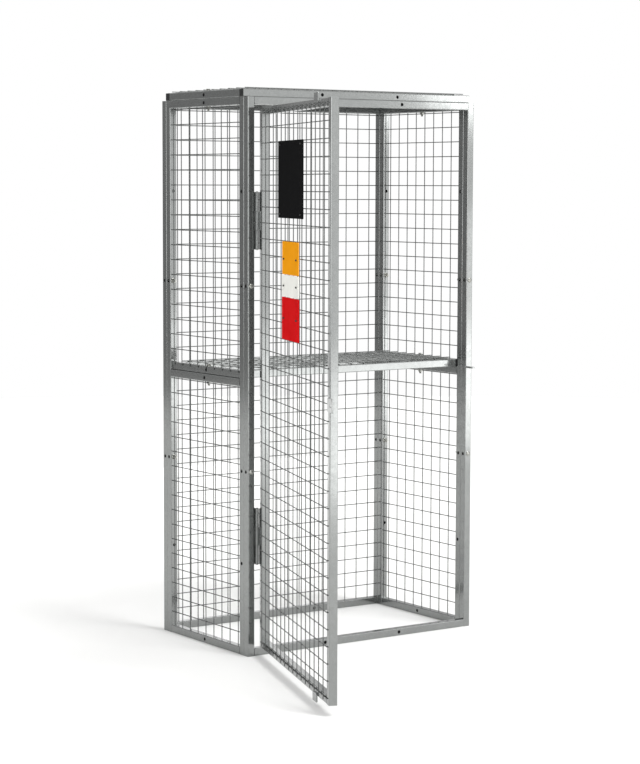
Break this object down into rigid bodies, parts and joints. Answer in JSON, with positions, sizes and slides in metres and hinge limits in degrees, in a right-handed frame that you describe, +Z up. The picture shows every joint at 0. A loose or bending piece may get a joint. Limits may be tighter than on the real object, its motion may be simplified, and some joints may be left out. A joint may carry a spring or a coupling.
{
  "type": "gas cylinder storage cage",
  "caption": "Tall free-standing galvanised mesh cage of bolted square-tube panels with a mid shelf, a roof and a hinged padlockable mesh door carrying plain coloured sign plates.",
  "frame": {"origin": "on the floor, under the middle of the front bottom rail", "axes": "+X to the right along the front, +Y from the front to the back, +Z up along the posts"},
  "size_m": [1.1594, 1.3634, 1.807],
  "materials": {
    "galvanised_steel": "hot-dip galvanised, satin grey",
    "galvanised_wire": "galvanised wire, satin grey",
    "zinc_plated_steel": "bright zinc plated",
    "black_plastic_cap": "moulded black, satin",
    "black_nylon_tie": "moulded black nylon",
    "black_sign_board": "plain black board",
    "amber_sign_board": "plain amber board",
    "white_sign_board": "plain white board",
    "red_sign_board": "plain red board"
  },
  "bodies": {
    "cage": {"back_bottom_rail": "galvanised_steel", "back_left_post": "galvanised_steel", "back_mesh": "galvanised_wire", "back_mid_rail": "galvanised_steel", "back_right_post": "galvanised_steel", "back_top_rail": "galvanised_steel", "front_bottom_rail": "galvanised_steel", "front_left_post": "galvanised_steel", "front_right_post": "galvanised_steel", "front_top_rail": "galvanised_steel", "joint_bolts": "zinc_plated_steel", "joint_nuts": "zinc_plated_steel", "left_bottom_rail": "galvanised_steel", "left_front_upright": "galvanised_steel", "left_mesh": "galvanised_wire", "left_mid_rail": "galvanised_steel", "left_rear_upright": "galvanised_steel", "left_top_rail": "galvanised_steel", "lock_lug": "galvanised_steel", "lower_hinge_pin": "zinc_plated_steel", "lower_hinge_post_leaf": "galvanised_steel", "panel_bolts": "zinc_plated_steel", "panel_nuts": "zinc_plated_steel", "panel_washers": "zinc_plated_steel", "post_end_caps": "black_plastic_cap", "right_bottom_rail": "galvanised_steel", "right_front_upright": "galvanised_steel", "right_mesh": "galvanised_wire", "right_mid_rail": "galvanised_steel", "right_rear_upright": "galvanised_steel", "right_top_rail": "galvanised_steel", "roof_end_caps": "black_plastic_cap", "roof_front_tube": "galvanised_steel", "roof_left_tube": "galvanised_steel", "roof_mesh": "galvanised_wire", "roof_rear_tube": "galvanised_steel", "roof_right_tube": "galvanised_steel", "shelf_end_caps": "black_plastic_cap", "shelf_front_tube": "galvanised_steel", "shelf_left_tube": "galvanised_steel", "shelf_mesh": "galvanised_wire", "shelf_rear_tube": "galvanised_steel", "shelf_right_tube": "galvanised_steel", "upper_hinge_pin": "zinc_plated_steel", "upper_hinge_post_leaf": "galvanised_steel"},
    "door": {"amber_sign_plate": "amber_sign_board", "black_sign_plate": "black_sign_board", "door_bottom_rail": "galvanised_steel", "door_end_caps": "black_plastic_cap", "door_hinge_stile": "galvanised_steel", "door_lock_stile": "galvanised_steel", "door_mesh": "galvanised_wire", "door_stop_tabs": "galvanised_steel", "door_top_rail": "galvanised_steel", "hasp_plate": "galvanised_steel", "lower_hinge_door_leaf": "galvanised_steel", "red_sign_plate": "red_sign_board", "sign_ties": "black_nylon_tie", "upper_hinge_door_leaf": "galvanised_steel", "white_sign_plate": "white_sign_board"}
  },
  "joints": [
    {"name": "door_swing", "type": "hinge", "parent": "cage", "child": "door", "pos_m": [-0.421, -0.0205, 0.8875], "axis": [0, 0, -1], "range_deg": [-109.5, 70.5]}
  ]
}
